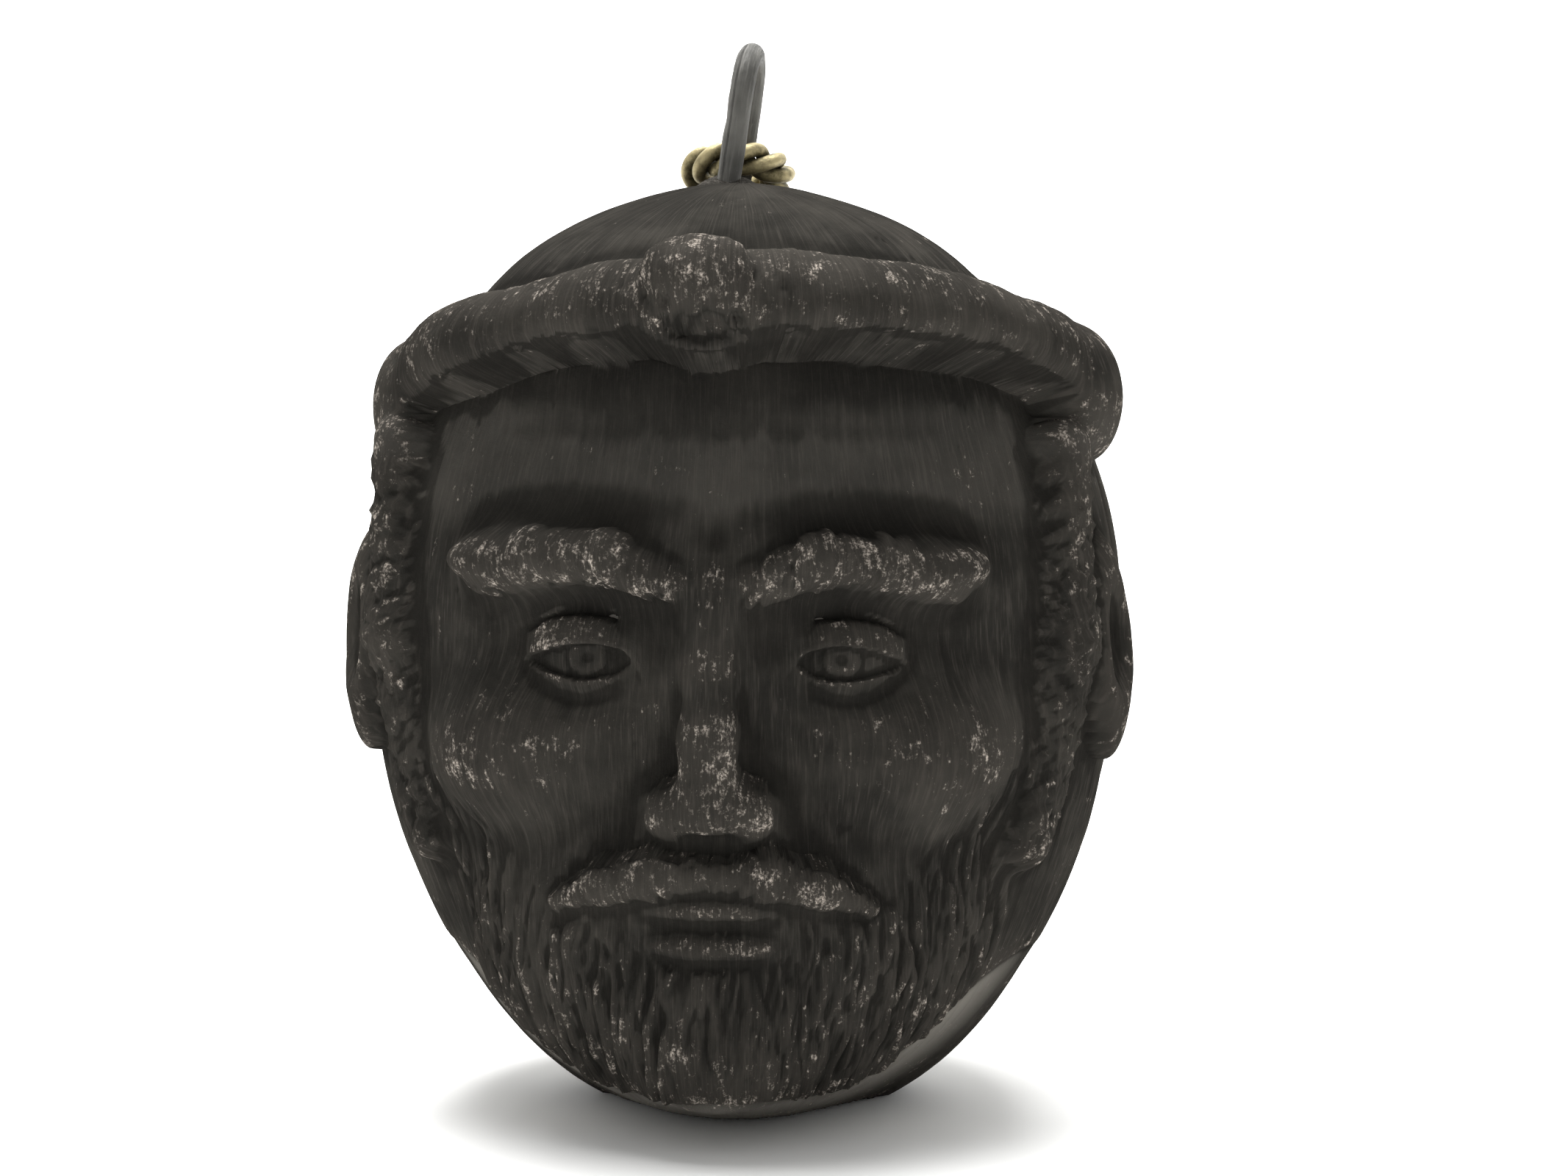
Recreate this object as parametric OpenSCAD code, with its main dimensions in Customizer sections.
// Cast-iron daruma head bell: two brazed half shells, a wire hanging loop clinched
// inside the crown, a twisted brass ring on the loop and a loose pellet in the chamber.
// Millimetres. +Z is up and the face looks along -Y. The origin is on the table,
// under the middle of the head.

/* [Head] */
// Height of the bare crown above the foot
crown_h = 41.9; // [38:0.1:46]
// Width of the bare head across the temples, without the ears
head_w = 34.6; // [30:0.1:38]
// Height of the widest section
waist_z = 22.2; // [20:0.1:25]
// Depth of the face half in front of the origin
face_d = 13.3; // [12:0.1:14]
// Depth of the plain rear half behind the origin
rear_d = 15.2; // [14:0.1:16]
// Width of the flat foot that the head stands on
foot_w = 13; // [11:0.5:15]
// Thickness of the cast walls
wall = 1.8; // [1.4:0.1:2.2]

/* [Hood] */
// Radius of the rolled brim
brim_r = 1.9; // [1.9:0.1:2.2]
// Height of the brim at the temples
brim_side_z = 32.4; // [31:0.1:34]
// Rise of the brim from the temples to the forehead, in degrees
brim_tilt = 23; // [15:0.5:26]
// How much lower the brim hangs over the left temple, in degrees
brim_roll = 1.8; // [0:0.1:3]
// Radius of the round boss at the middle of the brim
boss_r = 2.5; // [2:0.1:3]
// Fullness of the hood over the forehead
hood_d = 12.6; // [12:0.1:13]

/* [Seam and sound slit] */
// How far the seam lies in front of the origin
seam_y = 1.0; // [0.8:0.1:1.4]
// Depth of the register lip on the rear shell
lip_d = 1.2; // [0.8:0.1:1.4]
// Clearance round the register lip
lip_gap = 0.06; // [0.04:0.01:0.1]
// Width of the sound slit under the chin
slit_w = 2.6; // [2.5:0.1:3]
// Length of the sound slit
slit_l = 12; // [10:0.5:12.5]
// Radius of the round ends of the sound slit
slit_end_r = 1.7; // [1.5:0.1:2]

/* [Hanging loop] */
// Diameter of the loop's wire
wire_d = 1.1; // [0.9:0.05:1.2]
// Distance between the centres of the loop's two legs
leg_gap = 3.4; // [3.2:0.1:3.8]
// Height of the loop's top above the crown
loop_h = 6.8; // [5.5:0.1:7]
// How far the loop stands to the left of the middle
loop_off = 0.65; // [0:0.05:1]
// How far the loop's middle lies behind the origin
loop_y = 1.8; // [1.6:0.1:2]
// Lean of the loop to its right, in degrees
loop_lean = 8.5; // [0:0.5:10]
// Turn of the loop about the vertical, in degrees
loop_turn = 2; // [0:1:16]

/* [Brass ring] */
// Mean radius of the twisted ring
ring_r = 1.88; // [1.8:0.01:1.95]
// Distance from the rope's middle to each strand's middle
lay_r = 0.47; // [0.44:0.01:0.5]
// Radius of one strand
strand_r = 0.32; // [0.28:0.01:0.34]
// Turns that the strands make in one trip round the ring
twists = 3; // [3:1:4]
// Angle at which the ring slopes down over the rear of the crown
ring_slope = 23; // [20:1:25]

/* [Pellet] */
// Radius of the loose pellet
pellet_r = 3.5; // [3:0.1:4]

/* [Hidden] */
$fn = 64;
big = 120;                                   // side of the blocks that cut the halves
half_w = head_w / 2;
crown_up = crown_h - waist_z;                // from the waist to the crown
// from the waist to the pole that the foot cuts off
chin_down = waist_z / sqrt(1 - pow(foot_w / head_w, 2));
cut_y = -seam_y;
brim_x = 0.35;                               // the brim sits this far to the right
brim_flat = 0.84;                            // depth of the brim's ring over its width
brim_in = 0.4;                               // and this far inside the bare head's width
pad_z = crown_h - wall - 1.6;                // flat landing inside the crown
floor_z = wall;                              // flat floor of the chamber
washer_r = 3.2;
washer_t = 0.8;
hole_play = 0.05;
bend_r = 1.15;                               // bend of the clinched wire ends
tail_l = 1.1;                                // straight end beyond the bend
leg_run = 3.75;                              // from leg_z down to the start of the bend
leg_z = crown_h - 0.2;                       // height at which the legs are spaced
arch_z = loop_h - wire_d / 2 - leg_gap / 2;  // centre of the loop's arch above leg_z
loop_x = -loop_off;                          // middle of the loop and its mound
ring_x = loop_x + 0.05;                      // the ring hangs round the rear leg
ring_z = crown_h + 1.3;                      // the part of the ring in the eye
pellet_z = floor_z + sqrt(pow(pellet_r, 2) - pow(slit_w / 2, 2)) + 0.05;
strand_steps = 60;
strand_sides = 8;

// An ellipsoid with the given half axes, centred at a point
module blob(centre, half, turn = [0, 0, 0]) {
    translate(centre) rotate(turn) scale(half) sphere(1);
}

// A block on one side of the plane at y, towards -Y or +Y
module in_front_of(y) { translate([-big / 2, y - big, -big / 2]) cube(big); }
module behind(y) { translate([-big / 2, y, -big / 2]) cube(big); }
module above(z) { translate([-big / 2, -big / 2, z]) cube(big); }
module below(z) { translate([-big / 2, -big / 2, z - big]) cube(big); }

// An egg whose upper and lower halves meet at the waist, grown inwards by inset
module egg(depth, inset = 0) {
    intersection() {
        blob([0, 0, waist_z], [half_w - inset, depth - inset, crown_up - inset]);
        above(waist_z);
    }
    intersection() {
        blob([0, 0, waist_z], [half_w - inset, depth - inset, chin_down - inset]);
        below(waist_z);
    }
}

// The hollow inside both shells, with a flat floor and a flat landing for the washer
module chamber() {
    intersection() {
        union() {
            intersection() { egg(face_d, wall); in_front_of(0); }
            intersection() { egg(rear_d, wall); behind(0); }
        }
        above(floor_z);
        below(pad_z);
    }
}

// The slit that lets the sound out, along the seam under the chin
module sound_slit() {
    end_x = slit_l / 2 - slit_end_r;
    translate([-end_x, cut_y - slit_w / 2, -1]) cube([2 * end_x, slit_w, floor_z + 3]);
    for (side = [-1, 1])
        translate([side * end_x, cut_y, -1]) cylinder(h = floor_z + 3, r = slit_end_r);
}

// A ring of the wall at the seam, from one inset to another, reaching forward by depth
module seam_band(outer_inset, inner_inset, depth) {
    translate([0, cut_y + 0.01, waist_z]) rotate([90, 0, 0]) difference() {
        linear_extrude(depth + 0.01) seam_outline(outer_inset);
        translate([0, 0, -1]) linear_extrude(depth + 3) seam_outline(inner_inset);
    }
}

// The head's outline at the seam, seen from the front and shrunk by inset
module seam_outline(inset) {
    intersection() {
        scale([half_w - inset, crown_up - inset]) circle(1);
        translate([-big / 2, 0]) square(big);
    }
    intersection() {
        scale([half_w - inset, chin_down - inset]) circle(1);
        translate([-big / 2, -big]) square(big);
    }
}

// Rolled brim, an arched half ring from temple to temple
module brim() {
    translate([brim_x, 0, brim_side_z]) rotate([-brim_tilt, -brim_roll, 0])
        scale([1, brim_flat, 1])
            rotate([0, 0, 180]) rotate_extrude(angle = 180)
                translate([half_w - brim_in - brim_r, 0]) circle(brim_r);
}

// Relief of the face half: hood, boss, brows, eyes, nose, ears, moustache and beard
module relief() {
    brim();
    // Fullness of the hood, and the boss on the brim
    blob([0, -1, crown_h - 9.6], [13.2, hood_d, 9.6]);
    blob([-0.5, -12.1, 37.9], [boss_r, boss_r * 0.9, boss_r * 0.85]);
    // The brim's end, the brow, the eye and the ear of each side
    for (side = [-1, 1]) {
        blob([brim_x + side * 15.2, -2.8, 32.4 + side * 0.5], [1.9, 2.6, 2.9]);
        blob([side * 5.9, -12.2, 25.3], [4.4, 1.6, 1.2], [0, side * 6, side * 20]);
        blob([side * 6.6, -11.4, 21.9], [2.7, 1.7, 1.4], [0, 0, side * 22]);
        blob([side * 16.5, -3.3, 21.5], [1.5, 1.8, 5.2], [0, -side * 3, side * 10]);
    }
    // Nose and its wings, moustache, and the swell of the jaw and beard
    blob([0, -13.1, 18.2], [1.7, 1.9, 5.6], [-8, 0, 0]);
    blob([0, -13.2, 14.6], [3, 1.8, 1.6]);
    blob([0, -12.3, 11.2], [5.2, 1.6, 1.1]);
    blob([0, -6.6, 9.2], [10.5, 6.9, 8.8]);
}

// A leg's own place: centred between the legs, turned and leaning as the loop is
module loop_frame() {
    translate([loop_x, loop_y, leg_z]) rotate([0, 0, -loop_turn]) rotate([0, loop_lean, 0]) children();
}

// Low mound that the legs rise from
module leg_mound() { blob([loop_x, loop_y, crown_h - 0.7], [1.9, 2.7, 1.05]); }

// Holes that the two legs pass down through, with the given radius
module leg_holes(r) {
    loop_frame() for (side = [-1, 1])
        translate([0, side * leg_gap / 2, -6]) cylinder(h = 9, r = r);
}

module face_shell() {
    color([0.20, 0.19, 0.17]) difference() {
        intersection() {
            union() {
                egg(face_d);
                relief();
            }
            in_front_of(cut_y);
            above(0);
        }
        chamber();
        sound_slit();
        seam_band(wall / 2 - lip_gap, wall + 1, lip_d + lip_gap);
    }
}

module back_shell() {
    color([0.31, 0.29, 0.27]) difference() {
        union() {
            intersection() {
                union() {
                    intersection() { egg(face_d); in_front_of(0); }
                    intersection() { egg(rear_d); behind(0); }
                    leg_mound();
                }
                behind(cut_y);
                above(0);
            }
            intersection() { seam_band(wall / 2, wall, lip_d); above(0); below(pad_z); }
        }
        chamber();
        sound_slit();
        leg_holes(wire_d / 2 + hole_play);
    }
}

// Wire staple: an arch, two legs through the crown and two ends bent outwards inside
module hanging_loop() {
    color([0.39, 0.38, 0.36]) loop_frame() {
        translate([0, 0, arch_z]) rotate([90, 0, 90]) rotate_extrude(angle = 180)
            translate([leg_gap / 2, 0]) circle(d = wire_d);
        for (side = [-1, 1]) {
            bend_y = side * (leg_gap / 2 + bend_r);
            translate([0, side * leg_gap / 2, -leg_run])
                cylinder(h = leg_run + arch_z, d = wire_d);
            translate([0, bend_y, -leg_run]) rotate([90, 0, 90])
                rotate([0, 0, side > 0 ? 180 : 270]) rotate_extrude(angle = 90)
                    translate([bend_r, 0]) circle(d = wire_d);
            translate([0, bend_y, -leg_run - bend_r])
                rotate([-90 * side, 0, 0]) cylinder(h = tail_l, d = wire_d);
        }
    }
}

// Plate under the crown that the wire ends are clinched over
module crown_washer() {
    color([0.36, 0.35, 0.34]) difference() {
        translate([loop_x, loop_y, pad_z - washer_t]) cylinder(h = washer_t, r = washer_r);
        leg_holes(wire_d / 2 + 3 * hole_play);
    }
}

module bell_pellet() {
    color([0.33, 0.32, 0.31]) translate([0, cut_y, pellet_z]) sphere(pellet_r);
}

// Middle of a strand at angle a round the ring, in the ring's own plane
function strand_mid(a, first) =
    let (lay = twists * a + first, r = ring_r + lay_r * cos(lay))
    [r * cos(a), r * sin(a), lay_r * sin(lay)];

function unit(v) = v / norm(v);

// Circle of points square to the strand at angle a
function strand_section(a, first) =
    let (
        p = strand_mid(a, first),
        along = unit(strand_mid(a + 0.5, first) - strand_mid(a - 0.5, first)),
        side = unit(cross(along, p - ring_r * [cos(a), sin(a), 0])),
        out = cross(side, along)
    )
    [for (k = [0:strand_sides - 1])
        let (b = 360 * k / strand_sides) p + strand_r * (cos(b) * out + sin(b) * side)];

// One closed strand of the twisted ring, which lies on the crown round the rear leg
module ring_strand(number) {
    first = 120 * number;
    points = [for (i = [0:strand_steps - 1]) each strand_section(360 * i / strand_steps, first)];
    faces = [for (i = [0:strand_steps - 1], k = [0:strand_sides - 1])
        let (
            i2 = (i + 1) % strand_steps, k2 = (k + 1) % strand_sides,
            a = i * strand_sides + k, b = i * strand_sides + k2,
            c = i2 * strand_sides + k2, d = i2 * strand_sides + k
        )
        each [[a, c, b], [a, d, c]]];
    color([0.72, 0.62, 0.36]) translate([ring_x, loop_y, ring_z]) rotate([-ring_slope, 0, 0])
        translate([0, ring_r, 0]) polyhedron(points, faces, convexity = 6);
}

face_shell();
back_shell();
hanging_loop();
crown_washer();
bell_pellet();
ring_strand(1);  // ring_strand_1
ring_strand(2);  // ring_strand_2
ring_strand(3);  // ring_strand_3
